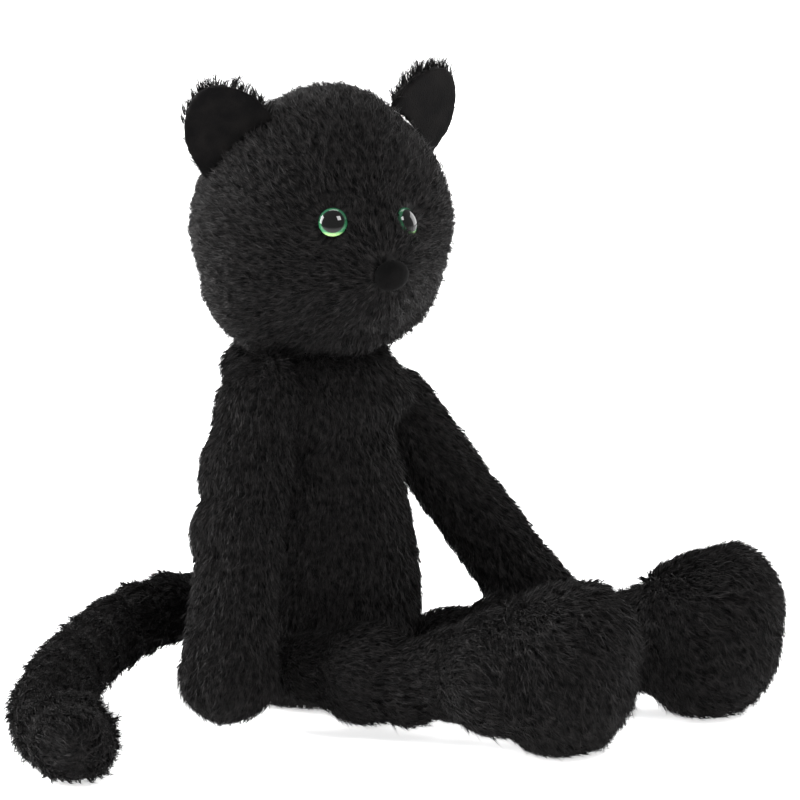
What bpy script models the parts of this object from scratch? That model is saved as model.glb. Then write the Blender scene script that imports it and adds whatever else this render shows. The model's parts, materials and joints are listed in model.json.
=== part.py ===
"""Sitting plush cat: sewn covers over stuffing, bean bags in the seat, hands and feet, safety eyes, a velvet nose.
The cat faces -Y with its left side at +X, and the origin is the middle of its flat seat on the floor. Metres."""
import math

import bmesh
import bpy
from mathutils import Matrix, Vector

SIDES = 14  # corners in one ring of a limb
BODY_SIDES = 14  # faces round one panel of the torso or the head
GAP = 0.0004  # clearance between touching pieces
CLOTH = 0.0016  # thickness of the plush backing with its pile pressed flat
HINGE_GAP = 0.0008  # clearance between the ball and the cup at an elbow, a knee or the tail's bend
OPENING = 0.0035  # radius of the gap left in the seam at the root of each sewn bag

# Torso: a pear. Each ring is a share of the height and a share of the half-width and half-depth.
TORSO_HEIGHT = 0.136
TORSO_WIDE = 0.0400
TORSO_DEEP = 0.0470
TORSO_LEAN = 0.0040  # how far the top of the torso leans forward
TORSO_RINGS = (
    (0.000, 0.50),
    (0.030, 0.70),
    (0.110, 0.92),
    (0.280, 1.00),
    (0.450, 0.95),
    (0.620, 0.84),
    (0.780, 0.71),
    (0.900, 0.59),
    (0.965, 0.47),
    (1.000, 0.37),
)
SEAT_BAG_TOP = 0.030
SEAT_BAG_RINGS = (0.03, 0.11)  # shares of the torso's height where the bean bag widens

# Head: an egg whose narrow end is the chin, turned towards the cat's right on the neck.
HEAD_WIDE = 0.0490
HEAD_DEEP = 0.0470
HEAD_TALL = 0.0530
HEAD_FORWARD = 0.0050
HEAD_MIDDLE = 0.955  # height of the head's middle over its lower rim, in half-heights
HEAD_YAW = math.radians(-20)
CHIN_TAPER = 0.17
CROWN_HOLE = 0.0008
MUZZLE_RAISE = math.radians(-11)
MUZZLE_SPREAD = math.radians(25)
MUZZLE_OUT = 0.0140
NECK_RADIUS = 0.0100
NECK_COLLAR = 0.0040  # height from the torso's rim up to the head's rim

# Face, as angles on the head seen from its centre: to the cat's left, and up.
EYE_TURN = math.radians(19.5)
EYE_RAISE = math.radians(13)
EYE_RADIUS = 0.0058
EYE_DOME = 0.0042
EYE_BACK = 0.0012
EYE_POST_RADIUS = 0.0015
EYE_POST_LENGTH = 0.0085
WASHER_RADIUS = 0.0060
WASHER_THICK = 0.0012
NOSE_RAISE = math.radians(-8)
NOSE_WIDE = 0.0078
NOSE_TALL = 0.0066
NOSE_THICK = 0.0040

# Ears: a rounded leaf standing on the head, its fur back and its velvet lining sewn round the edge.
EAR_TURN = math.radians(47)  # from the crown down to the side
EAR_UPRIGHT = math.radians(18)  # leaned in from square to the head towards upright
EAR_WIDE = 0.0180
EAR_LONG = 0.0280
EAR_THICK = 0.0016
EAR_GAP = 0.0012
EAR_TIP = 0.79  # width at the top of the ear in its foot's widths
EAR_ROUNDNESS = 0.72  # under 1 fills out the shoulders of the leaf
EAR_ROOT = 0.012  # how far the uncut leaf runs down past its foot
EAR_FACE = math.radians(22)  # the lining turned outwards

# Arms: the joint at the shoulder, the run to the elbow and the run from the elbow to the hand.
SHOULDER_R_HEIGHT = 0.890  # shares of the torso's height
SHOULDER_L_HEIGHT = 0.800
SHOULDER_R_TURN = math.radians(-78)  # from straight ahead round to the side
SHOULDER_L_TURN = math.radians(84)
ARM_RADIUS = 0.0150
HAND_RADIUS = 0.0172
ARM_CLEAR = 0.0050  # between the torso's widest part and an elbow or a hand
UPPER_ARM = 0.0515
LOWER_ARM = 0.0515
LIMB_MIDDLE = 0.5  # share of a run where a limb stops being straight-sided
HAND_BAG_FROM = 0.85  # share of the lower run where the hand's bean bag starts
ARM_R_SWING = math.radians(9)
ARM_L_SWING = math.radians(29)
ARM_R_SPLAY = math.radians(16)
ARM_L_SPLAY = math.radians(22)

# Legs: the way that each one points along the floor, from straight ahead towards the cat's left.
HIP_R_TURN = math.radians(-45)
HIP_L_TURN = math.radians(34)
HIP_HEIGHT = 0.0265
THIGH = 0.0420
SHIN = 0.0620
KNEE_HEIGHT = 0.0225
LEG_RADIUS = 0.0130
ANKLE_RADIUS = 0.0145
ANKLE_AT = 0.3  # share of the shin where the ankle is
FOOT_RADIUS = 0.0290
FOOT_TALL = 1.17  # height of the foot in its widths
HEEL_FLARE = 1.25  # width of the foot where it leaves the ankle, in ankles
LEG_R_TURN = math.radians(21)
SHIN_R_TURN = math.radians(24)
LEG_L_TURN = math.radians(32)
SHIN_L_TURN = math.radians(35)

# Tail: the run along the floor from its root at the back, round towards the cat's right.
TAIL_ROOT_HEIGHT = 0.030
TAIL_RADIUS = 0.0120
TAIL_BEND_RADIUS = TAIL_RADIUS + 0.001
TAIL_TIP_RADIUS = 0.0155
TAIL_RINGS = 6  # rings along each half of the tail
TAIL_BASE_RUN = (
    Vector((-0.0240, 0.0003, 0.0010)),
    Vector((-0.0460, -0.0027, -0.0010)),
    Vector((-0.0700, -0.0090, -0.0060)),
    Vector((-0.0945, -0.0210, -0.0115)),
    Vector((-0.1118, -0.0353, -0.0140)),
)
TAIL_TIP_RUN = (
    Vector((-0.0180, -0.0155, 0.0000)),
    Vector((-0.0370, -0.0350, 0.0006)),
    Vector((-0.0500, -0.0560, 0.0010)),
)

PLUSH = ((0.012, 0.012, 0.014), 0.95)
VELVET = ((0.030, 0.028, 0.029), 0.85)
FILLING = ((0.85, 0.85, 0.83), 0.95)
BEANS = ((0.72, 0.70, 0.64), 0.80)
CLEAR_PLASTIC = ((0.80, 0.90, 0.82), 0.05)
IRIS = ((0.05, 0.32, 0.08), 0.30)
WASHER = ((0.90, 0.90, 0.88), 0.45)


def clear_scene():
    for old in list(bpy.data.objects):
        bpy.data.objects.remove(old, do_unlink=True)


def material(name, colour, roughness, metallic=0.0):
    made = bpy.data.materials.new(name)
    made.use_nodes = True
    shader = made.node_tree.nodes["Principled BSDF"]
    shader.inputs["Base Color"].default_value = (*colour, 1.0)
    shader.inputs["Roughness"].default_value = roughness
    shader.inputs["Metallic"].default_value = metallic
    return made


def add_node(name, bm, look, pivot, frame=Matrix.Identity(3), flat=False):
    """One named solid with its own material. Its mesh is drawn in its own frame about the pivot."""
    bmesh.ops.recalc_face_normals(bm, faces=bm.faces)
    for face in bm.faces:
        face.smooth = not flat
    mesh = bpy.data.meshes.new(name)
    bm.to_mesh(mesh)
    bm.free()
    mesh.materials.append(material(name + "_material", *look))
    node = bpy.data.objects.new(name, mesh)
    node.matrix_world = Matrix.Translation(pivot) @ frame.to_4x4()
    bpy.context.collection.objects.link(node)
    return node


def cut(node, cutter):
    cutter.hide_render = True
    cutter.display_type = "WIRE"
    modifier = node.modifiers.new("cut_" + cutter.name, "BOOLEAN")
    modifier.operation = "DIFFERENCE"
    modifier.solver = "EXACT"
    modifier.object = cutter


def skin(stations):
    """A closed surface through stations in order. A station is a ring of points, or the one point where it ends."""
    bm = bmesh.new()
    rows = []
    for station in stations:
        points = [station] if isinstance(station, Vector) else station
        rows.append([bm.verts.new(point) for point in points])
    pairs = list(zip(rows, rows[1:]))
    if len(rows[0]) > 1:
        pairs.append((rows[-1], rows[0]))
    for first, second in pairs:
        count = max(len(first), len(second))
        for i in range(count):
            after = (i + 1) % count
            if len(first) == 1:
                bm.faces.new((first[0], second[after], second[i]))
            elif len(second) == 1:
                bm.faces.new((first[i], first[after], second[0]))
            else:
                bm.faces.new((first[i], first[after], second[after], second[i]))
    return bm


def panel(outer, inner):
    """A shell between two grids of points, closed round its four edges."""
    bm = bmesh.new()
    out = [[bm.verts.new(p) for p in row] for row in outer]
    inn = [[bm.verts.new(p) for p in row] for row in inner]
    last_row = len(out) - 1
    last = len(out[0]) - 1
    for r in range(last_row):
        for c in range(last):
            bm.faces.new((out[r][c], out[r][c + 1], out[r + 1][c + 1], out[r + 1][c]))
            bm.faces.new((inn[r][c], inn[r + 1][c], inn[r + 1][c + 1], inn[r][c + 1]))
        for c in (0, last):
            bm.faces.new((out[r][c], out[r + 1][c], inn[r + 1][c], inn[r][c]))
    for c in range(last):
        for r in (0, last_row):
            bm.faces.new((out[r][c], inn[r][c], inn[r][c + 1], out[r][c + 1]))
    return bm


def along(shares, share):
    """The second value of a table, read between its rows at a share of its first."""
    for (a, low), (b, high) in zip(shares, shares[1:]):
        if share <= b:
            return low + (high - low) * max(0.0, share - a) / (b - a)
    return shares[-1][1]


# ---- Torso -------------------------------------------------------------------------------------


def torso_point(turn, height, inset=0.0):
    """A point of the torso's outside. Turn runs from the front (0) to the cat's left (a quarter)."""
    share = along(TORSO_RINGS, height / TORSO_HEIGHT)
    return Vector((
        (TORSO_WIDE * share - inset) * math.sin(turn),
        -(TORSO_DEEP * share - inset) * math.cos(turn) - TORSO_LEAN * (height / TORSO_HEIGHT) ** 2,
        height,
    ))


def against_torso(turn, height, radius):
    """The centre of a ball that rests against the torso there with the usual clearance."""
    step = 0.001
    sideways = torso_point(turn + step, height) - torso_point(turn - step, height)
    upwards = torso_point(turn, height + 2 * step) - torso_point(turn, height - 2 * step)
    outwards = sideways.cross(upwards).normalized()
    return torso_point(turn, height) + outwards * (radius + 2 * GAP)


def torso_ring(height, inset, sides=2 * BODY_SIDES):
    return [torso_point(2 * math.pi * i / sides, height, inset) for i in range(sides)]


def torso_panel(name, middle_turn):
    """The front or the back half of the torso's cover, from side seam to side seam."""
    toward = Vector((0, -math.cos(middle_turn) * GAP / 2, 0))
    turns = [middle_turn + math.pi * (i / BODY_SIDES - 0.5) for i in range(BODY_SIDES + 1)]
    heights = [share * TORSO_HEIGHT for share, _ in TORSO_RINGS]
    outer = [[torso_point(t, h) + toward for t in turns] for h in heights]
    inner = [[torso_point(t, h, CLOTH) + toward for t in turns] for h in heights]
    add_node(name, panel(outer, inner), PLUSH, Vector((0, 0, 0)))


NECK_CENTRE = Vector((0, -TORSO_LEAN, TORSO_HEIGHT + NECK_COLLAR / 2))


def cup(centre, radius, rim_radius, way, sides, steps=4):
    """Rings of a hollow that a ball fits, from its rim to its deepest point, which is last."""
    stations = []
    low = math.asin(rim_radius / radius)
    for k in range(steps):
        angle = low * (1 - k / steps)
        r = radius * math.sin(angle)
        z = centre.z + way * radius * math.cos(angle)
        stations.append([
            Vector((
                centre.x + r * math.sin(2 * math.pi * i / sides),
                centre.y - r * math.cos(2 * math.pi * i / sides),
                z,
            ))
            for i in range(sides)
        ])
    stations.append(Vector((centre.x, centre.y, centre.z + way * radius)))
    return stations


def build_torso():
    torso_panel("torso_front_cover", 0.0)
    torso_panel("torso_back_cover", math.pi)
    sides = 2 * BODY_SIDES
    inside = CLOTH + GAP
    base_rim = torso_ring(0.0, inside)
    base_top = [p + Vector((0, 0, CLOTH)) for p in base_rim]
    seat = skin([Vector((0, 0, 0)), base_rim, base_top, Vector((0, 0, CLOTH))])
    add_node("seat_panel", seat, PLUSH, Vector((0, 0, 0)), flat=True)

    low_ring, high_ring = (share * TORSO_HEIGHT for share in SEAT_BAG_RINGS)
    bag_heights = [inside, low_ring + inside, high_ring, SEAT_BAG_TOP]
    bag_rings = [torso_ring(h, inside) for h in bag_heights]
    bag = skin([Vector((0, 0, inside))] + bag_rings + [Vector((0, 0, SEAT_BAG_TOP))])
    add_node("seat_bean_bag", bag, BEANS, Vector((0, 0, 0)))

    low = SEAT_BAG_TOP + GAP
    heights = [low] + [s * TORSO_HEIGHT for s, _ in TORSO_RINGS if s * TORSO_HEIGHT > low + 0.002]
    rings = [torso_ring(h, inside) for h in heights]
    ball = NECK_RADIUS + HINGE_GAP
    rim = math.sqrt(ball**2 - (NECK_CENTRE.z - TORSO_HEIGHT) ** 2)
    hollow = cup(NECK_CENTRE, ball, rim, -1, sides)
    add_node("torso_stuffing", skin([Vector((0, 0, low))] + rings + hollow), FILLING, Vector((0, 0, 0)))

    steps = 8
    neck = [Vector((0, 0, -NECK_RADIUS))]
    for k in range(1, steps):
        angle = math.pi * k / steps
        neck.append([
            Vector((
                NECK_RADIUS * math.sin(angle) * math.cos(2 * math.pi * i / SIDES),
                NECK_RADIUS * math.sin(angle) * math.sin(2 * math.pi * i / SIDES),
                -NECK_RADIUS * math.cos(angle),
            ))
            for i in range(SIDES)
        ])
    neck.append(Vector((0, 0, NECK_RADIUS)))
    add_node("neck_stuffing", skin(neck), FILLING, NECK_CENTRE)


# ---- Head --------------------------------------------------------------------------------------

HEAD_FRAME = Matrix.Rotation(HEAD_YAW, 3, "Z")
HEAD_RIM = NECK_CENTRE.z + NECK_COLLAR / 2  # height of the head's lower rim
HEAD_RIM_RADIUS = 0.0180
HEAD_PIVOT = Vector((0, -TORSO_LEAN - HEAD_FORWARD, HEAD_RIM + HEAD_TALL * HEAD_MIDDLE))


def head_point(turn, rise, inset=0.0):
    """A point of the head in its own frame. Turn runs from the nose to the cat's left, rise from -90 to 90 degrees."""
    z = (HEAD_TALL - inset) * math.sin(rise)
    taper = 1 - CHIN_TAPER * max(0.0, -math.sin(rise)) ** 1.5
    flat = math.cos(rise) * taper
    base = Vector((
        (HEAD_WIDE - inset) * flat * math.sin(turn),
        -(HEAD_DEEP - inset) * flat * math.cos(turn),
        z,
    ))
    muzzle = Vector((0, -math.cos(MUZZLE_RAISE), math.sin(MUZZLE_RAISE)))
    away = base.angle(muzzle) / MUZZLE_SPREAD
    return base + muzzle * (MUZZLE_OUT * math.exp(-(away**2)))


HEAD_LOWEST = -math.acos(HEAD_RIM_RADIUS / (HEAD_WIDE * (1 - CHIN_TAPER)))
HEAD_TOP = math.acos(CROWN_HOLE / HEAD_WIDE)
HEAD_STEPS = 12


def head_frame_at(turn, rise):
    """The place on the head's cover and the frame there: x across, y up along the cover, z outwards."""
    step = 0.001
    across = (head_point(turn + step, rise) - head_point(turn - step, rise)).normalized()
    upwards = head_point(turn, rise + step) - head_point(turn, rise - step)
    outwards = across.cross(upwards).normalized()
    upwards = outwards.cross(across)
    frame = Matrix((across, upwards, outwards)).transposed()
    return HEAD_PIVOT + HEAD_FRAME @ head_point(turn, rise), HEAD_FRAME @ frame


def head_panel(name, middle_turn):
    toward = Vector((0, -math.cos(middle_turn) * GAP / 2, 0))
    turns = [middle_turn + math.pi * (i / BODY_SIDES - 0.5) for i in range(BODY_SIDES + 1)]
    rises = [HEAD_LOWEST + (HEAD_TOP - HEAD_LOWEST) * k / HEAD_STEPS for k in range(HEAD_STEPS + 1)]
    outer = [[head_point(t, r) + toward for t in turns] for r in rises]
    inner = [[head_point(t, r, CLOTH) + toward for t in turns] for r in rises[:-1]]
    last = [Vector((p.x, p.y, (HEAD_TALL - CLOTH) * math.sin(HEAD_TOP))) for p in outer[-1]]
    inner.append(last)
    return add_node(name, panel(outer, inner), PLUSH, HEAD_PIVOT, HEAD_FRAME)


def disc(radius, bottom, top, sides=16):
    """A flat round solid about its own z."""
    rings = []
    for z in (bottom, top):
        rings.append([
            Vector((
                radius * math.cos(2 * math.pi * i / sides),
                radius * math.sin(2 * math.pi * i / sides),
                z,
            ))
            for i in range(sides)
        ])
    return skin([Vector((0, 0, bottom))] + rings + [Vector((0, 0, top))])


def turned(outline, sides=18, wide=1.0, tall=1.0):
    """A solid of revolution about its own z through (radius, z) points, its ends on the axis."""
    stations = []
    for radius, z in outline:
        if radius == 0.0:
            stations.append(Vector((0, 0, z)))
            continue
        stations.append([
            Vector((
                wide * radius * math.cos(2 * math.pi * i / sides),
                tall * radius * math.sin(2 * math.pi * i / sides),
                z,
            ))
            for i in range(sides)
        ])
    return skin(stations)


def dome_outline(radius, height, bottom, steps=6):
    outline = [(0.0, bottom)]
    for k in range(steps):
        angle = math.pi / 2 * k / steps
        outline.append((radius * math.cos(angle), bottom + height * math.sin(angle)))
    outline.append((0.0, bottom + height))
    return outline


def build_eye(side, turn, face, stuffing):
    place, frame = head_frame_at(turn, EYE_RAISE)
    back = GAP
    front = back + EYE_BACK
    washer_top = -CLOTH - WASHER_RADIUS**2 / (2 * HEAD_DEEP) - 2 * GAP
    post_end = -EYE_POST_LENGTH
    stem = turned([
        (0.0, post_end),
        (EYE_POST_RADIUS, post_end),
        (EYE_POST_RADIUS, back),
        (EYE_RADIUS, back),
        (EYE_RADIUS, front),
        (0.0, front),
    ])
    add_node("eye_iris_and_post_" + side, stem, IRIS, place, frame)
    lens = turned(dome_outline(EYE_RADIUS, EYE_DOME, front + GAP / 2))
    add_node("eye_lens_" + side, lens, CLEAR_PLASTIC, place, frame)
    hole = EYE_POST_RADIUS + GAP / 2
    washer = turned([
        (hole, washer_top),
        (hole, washer_top - WASHER_THICK),
        (WASHER_RADIUS, washer_top - WASHER_THICK),
        (WASHER_RADIUS, washer_top),
    ])
    add_node("eye_washer_" + side, washer, WASHER, place, frame)
    bore = disc(EYE_POST_RADIUS + GAP, post_end, back + CLOTH)
    cut(face, add_node("cutter_post_" + side, bore, PLUSH, place, frame))
    recess = disc(WASHER_RADIUS + GAP, post_end - GAP, CLOTH)
    cut(stuffing, add_node("cutter_recess_" + side, recess, PLUSH, place, frame))


def ear_outline(points=18):
    """The rim of an ear in its own plane: its foot at y = 0, rounded at the top."""
    rim = []
    for i in range(points + 1):
        angle = math.pi * i / points
        narrow = 1 - (1 - EAR_TIP) * math.sin(angle) ** 2
        x = EAR_WIDE * math.cos(angle) * narrow
        y = EAR_LONG * max(0.0, math.sin(angle)) ** EAR_ROUNDNESS
        rim.append(Vector((x, y, 0)))
    return rim


def ear_leaf(bottom, top):
    """A thin leaf reaching down past its foot, where the head's curve trims it."""
    rim = ear_outline() + [Vector((-EAR_WIDE, -EAR_ROOT, 0)), Vector((EAR_WIDE, -EAR_ROOT, 0))]
    bm = bmesh.new()
    rows = []
    for z in (bottom, top):
        rows.append([bm.verts.new(p + Vector((0, 0, z))) for p in rim])
    count = len(rim)
    for i in range(count):
        after = (i + 1) % count
        bm.faces.new((rows[0][i], rows[0][after], rows[1][after], rows[1][i]))
    bm.faces.new(rows[0])
    bm.faces.new(rows[1])
    return bm


def ear_frame(side_sign):
    """The foot of an ear and its frame: x across, y up the ear, z out of the lining."""
    rise = math.pi / 2 - EAR_TURN
    place, frame = head_frame_at(side_sign * math.pi / 2, rise)
    outwards = frame.col[2].normalized()
    nose_line = HEAD_FRAME @ Vector((0, -1, 0))
    outwards = Matrix.Rotation(-side_sign * EAR_UPRIGHT, 3, -nose_line) @ outwards
    ahead = HEAD_FRAME @ Vector((0, -1, 0))
    ahead = Matrix.Rotation(side_sign * EAR_FACE, 3, outwards) @ ahead
    ahead = (ahead - outwards * ahead.dot(outwards)).normalized()
    across = outwards.cross(ahead)
    return place, Matrix((across, outwards, ahead)).transposed()


def build_ear(side, side_sign, head_cutter):
    place, frame = ear_frame(side_sign)
    back = add_node("ear_back_" + side, ear_leaf(-EAR_THICK - GAP / 2, -GAP / 2), PLUSH, place, frame)
    lining = add_node("ear_lining_" + side, ear_leaf(GAP / 2, EAR_THICK + GAP / 2), VELVET, place, frame)
    cut(back, head_cutter)
    cut(lining, head_cutter)


def head_solid(inset, open_cup):
    sides = 2 * BODY_SIDES
    rises = [HEAD_LOWEST + (math.pi / 2 - HEAD_LOWEST) * k / HEAD_STEPS for k in range(HEAD_STEPS)]
    rings = [[head_point(2 * math.pi * i / sides, r, inset) for i in range(sides)] for r in rises]
    top = Vector((0, 0, HEAD_TALL - inset))
    if not open_cup:
        return skin([Vector((0, 0, rings[0][0].z))] + rings + [top])
    ball = NECK_RADIUS + HINGE_GAP
    centre = HEAD_FRAME.inverted() @ (NECK_CENTRE - HEAD_PIVOT)
    depth = rings[0][0].z - centre.z
    rim = math.sqrt(ball**2 - depth**2)
    hollow = cup(centre, ball, rim, 1, sides)
    return skin(list(reversed(hollow)) + rings + [top])


def build_head():
    face = head_panel("head_face_cover", 0.0)
    head_panel("head_back_cover", math.pi)
    stuffing = add_node("head_stuffing", head_solid(CLOTH + 3 * GAP, True), FILLING, HEAD_PIVOT, HEAD_FRAME)
    build_eye("L", EYE_TURN, face, stuffing)
    build_eye("R", -EYE_TURN, face, stuffing)
    place, frame = head_frame_at(0.0, NOSE_RAISE)
    nose = turned(dome_outline(1.0, NOSE_THICK, GAP, 5), 20, NOSE_WIDE, NOSE_TALL)
    add_node("nose_pad", nose, VELVET, place, frame)
    trim = add_node("cutter_head", head_solid(-EAR_GAP, False), PLUSH, HEAD_PIVOT, HEAD_FRAME)
    build_ear("L", 1, trim)
    build_ear("R", -1, trim)


# ---- Limbs -------------------------------------------------------------------------------------


class Spine:
    """A smooth line through a few points, which runs straight past both its ends.
    Its rings grow taller than wide, by tall, between the two stations tall_from."""

    def __init__(self, points, tall=1.0, tall_from=(0.0, 1.0)):
        self.tall = tall
        self.tall_from = tall_from
        self.points = [Vector(p) for p in points]
        self.lengths = [0.0]
        for a, b in zip(self.points, self.points[1:]):
            self.lengths.append(self.lengths[-1] + (b - a).length)
        self.total = self.lengths[-1]

    def at(self, s):
        first, second = self.points[:2]
        if s <= 0:
            return first + (second - first).normalized() * s
        before, last = self.points[-2:]
        if s >= self.total:
            return last + (last - before).normalized() * (s - self.total)
        i = max(k for k in range(len(self.lengths) - 1) if self.lengths[k] <= s)
        t = (s - self.lengths[i]) / (self.lengths[i + 1] - self.lengths[i])
        p1, p2 = self.points[i], self.points[i + 1]
        p0 = self.points[i - 1] if i > 0 else p1 - (p2 - p1)
        p3 = self.points[i + 2] if i + 2 < len(self.points) else p2 + (p2 - p1)
        m1 = (p2 - p0) * 0.5
        m2 = (p3 - p1) * 0.5
        return (
            p1 * (2 * t**3 - 3 * t**2 + 1)
            + m1 * (t**3 - 2 * t**2 + t)
            + p2 * (3 * t**2 - 2 * t**3)
            + m2 * (t**3 - t**2)
        )

    def ring(self, s, radius):
        step = 0.0005
        forward = (self.at(s + step) - self.at(s - step)).normalized()
        side = forward.cross(Vector((0, 0, 1)))
        if side.length < 0.3:
            side = forward.cross(Vector((0, 1, 0)))
        side.normalize()
        up = side.cross(forward)
        turn = 2 * math.pi / SIDES
        start, stop = self.tall_from
        tall = 1 + (self.tall - 1) * min(1.0, max(0.0, (s - start) / (stop - start)))
        return [
            self.at(s) + side * (radius * math.cos(i * turn)) + up * (tall * radius * math.sin(i * turn))
            for i in range(SIDES)
        ]


def root_ball(radius, inset, opening):
    """(s, r) stations of the ball at a bag's root, s measured from the ball's centre."""
    size = radius - inset
    low = math.asin(opening / size)
    steps = 4
    stations = []
    for k in range(steps):
        angle = low + (math.pi / 2 - low) * k / steps
        stations.append((-size * math.cos(angle), size * math.sin(angle)))
    return stations


def end_ball(centre, radius, inset, back=0.0):
    """Stations of the ball at a bag's end, its back half too from where it is as wide as back."""
    size = radius - inset
    steps = 5
    stations = []
    low = math.asin(min(1.0, back / size)) if back else math.pi / 2
    for k in range(3):
        angle = low + (math.pi / 2 - low) * k / 3
        if back:
            stations.append((centre - size * math.cos(angle), size * math.sin(angle)))
    for k in range(steps):
        angle = math.pi / 2 * k / steps
        stations.append((centre + size * math.sin(angle), size * math.cos(angle)))
    return stations


def rings_of(spine, stations, pivot):
    return [[p - pivot for p in spine.ring(s, r)] for s, r in stations]


def closed_bag(name, spine, radius, waist, end, back, look=PLUSH):
    """A sewn bag, open a little at its root ball. It turns about the centre of that ball."""
    pivot = spine.at(0)

    def wall(inset):
        stations = root_ball(radius, inset, OPENING)
        stations += [(s, r - inset) for s, r in waist]
        return stations + end_ball(end[0], end[1], inset, back - inset if back else 0.0)

    outer = rings_of(spine, wall(0.0), pivot)
    inner = rings_of(spine, wall(CLOTH), pivot)
    outer_end = spine.at(end[0] + end[1]) - pivot
    inner_end = spine.at(end[0] + end[1] - CLOTH) - pivot
    bag = skin([inner_end] + inner[::-1] + outer + [outer_end])
    add_node(name, bag, look, pivot)


def filling_stations(radius, waist, end, back):
    inset = CLOTH + GAP
    stations = root_ball(radius, inset, OPENING)
    stations += [(s, r - inset) for s, r in waist]
    return stations + end_ball(end[0], end[1], inset, back - inset if back else 0.0)


def whole_filling(name, spine, radius, waist, end):
    """The stuffing of a closed bag from its root to its end."""
    pivot = spine.at(0)
    stations = filling_stations(radius, waist, end, 0.0)
    root = spine.at(stations[0][0]) - pivot
    tip = spine.at(end[0] + end[1] - CLOTH - GAP) - pivot
    add_node(name, skin([root] + rings_of(spine, stations, pivot) + [tip]), FILLING, pivot)


def shared_filling(name, beans_name, spine, radius, waist, end, back, beans_from):
    """The stuffing of a closed bag, and the bean bag that takes over from it near the bag's end."""
    pivot = spine.at(0)
    stations = filling_stations(radius, waist, end, back)
    near = [(s, r) for s, r in stations if s < beans_from - GAP]
    far = [(s, r) for s, r in stations if s > beans_from + GAP]
    (s0, r0), (s1, r1) = near[-1], far[0]
    cut_radius = r0 + (r1 - r0) * (beans_from - s0) / (s1 - s0)
    near.append((beans_from - GAP / 2, cut_radius))
    far.insert(0, (beans_from + GAP / 2, cut_radius))
    root = spine.at(near[0][0]) - pivot
    near_end = spine.at(near[-1][0]) - pivot
    far_start = spine.at(far[0][0]) - pivot
    tip = spine.at(end[0] + end[1] - CLOTH - GAP) - pivot
    add_node(name, skin([root] + rings_of(spine, near, pivot) + [near_end]), FILLING, pivot)
    add_node(beans_name, skin([far_start] + rings_of(spine, far, pivot) + [tip]), BEANS, pivot)


def socket_stations(hinge, ball, inset):
    """Where the wall of a segment stops short of the ball that turns in its end."""
    reach = ball + HINGE_GAP
    wall = ball - inset
    return hinge - math.sqrt(reach**2 - wall**2)


def open_segment(cover_name, filling_name, spine, radius, waist, hinge, ball):
    """A limb's upper part: a tube of cover open at both ends, and stuffing that ends in a cup."""
    pivot = spine.at(0)
    lip = socket_stations(hinge, ball, CLOTH)

    def wall(inset, opening):
        stations = root_ball(radius, inset, opening)
        stations += [(s, r - inset) for s, r in waist if s < lip - 0.002]
        return stations + [(lip, ball - inset)]

    outer = rings_of(spine, wall(0.0, OPENING), pivot)
    inner = rings_of(spine, wall(CLOTH, OPENING), pivot)
    add_node(cover_name, skin(outer + inner[::-1]), PLUSH, pivot)

    inset = CLOTH + GAP
    reach = ball + HINGE_GAP
    rings = wall(inset, OPENING)
    edge = ball - inset
    rings[-1] = (hinge - math.sqrt(reach**2 - edge**2), edge)
    low = math.asin(edge / reach)
    for k in range(1, 4):
        angle = low * (1 - k / 4)
        rings.append((hinge - reach * math.cos(angle), reach * math.sin(angle)))
    root = spine.at(rings[0][0]) - pivot
    deepest = spine.at(hinge - reach) - pivot
    add_node(filling_name, skin([root] + rings_of(spine, rings, pivot) + [deepest]), FILLING, pivot)


def swung(length, swing, splay, side_sign):
    """A run of an arm that hangs down, swung forwards and splayed outwards."""
    return Vector((
        side_sign * length * math.sin(splay),
        -length * math.cos(splay) * math.sin(swing),
        -length * math.cos(splay) * math.cos(swing),
    ))


def splay_clear(start, length, swing, splay, radius):
    """The splay that a run needs so that its end clears the torso, or the one given where that is more."""
    height = max(0.0, start.z - length * math.cos(swing))
    clear = torso_point(math.pi / 2, height).x + radius + ARM_CLEAR
    return max(splay, math.asin(max(0.0, clear - abs(start.x)) / length))


def build_arm(side, side_sign, turn, height, swing, splay):
    shoulder = against_torso(turn, height * TORSO_HEIGHT, ARM_RADIUS)
    upper_splay = splay_clear(shoulder, UPPER_ARM, swing, splay, ARM_RADIUS)
    elbow = shoulder + swung(UPPER_ARM, swing, upper_splay, side_sign)
    lower_splay = splay_clear(elbow, LOWER_ARM, swing, splay, HAND_RADIUS)
    hand = elbow + swung(LOWER_ARM, swing, lower_splay, side_sign)
    upper = Spine([shoulder, elbow])
    waist = [(0.0, ARM_RADIUS), (UPPER_ARM * LIMB_MIDDLE, ARM_RADIUS)]
    cover = "arm_upper_cover_" + side
    open_segment(cover, "arm_upper_stuffing_" + side, upper, ARM_RADIUS, waist, UPPER_ARM, ARM_RADIUS)
    lower = Spine([elbow, hand])
    waist = [(0.0, ARM_RADIUS), (LOWER_ARM * LIMB_MIDDLE, ARM_RADIUS)]
    end = (LOWER_ARM, HAND_RADIUS)
    closed_bag("arm_lower_cover_" + side, lower, ARM_RADIUS, waist, end, 0.0)
    filling = "arm_lower_stuffing_" + side
    beans_from = LOWER_ARM * HAND_BAG_FROM
    shared_filling(filling, "hand_bean_bag_" + side, lower, ARM_RADIUS, waist, end, 0.0, beans_from)


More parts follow.
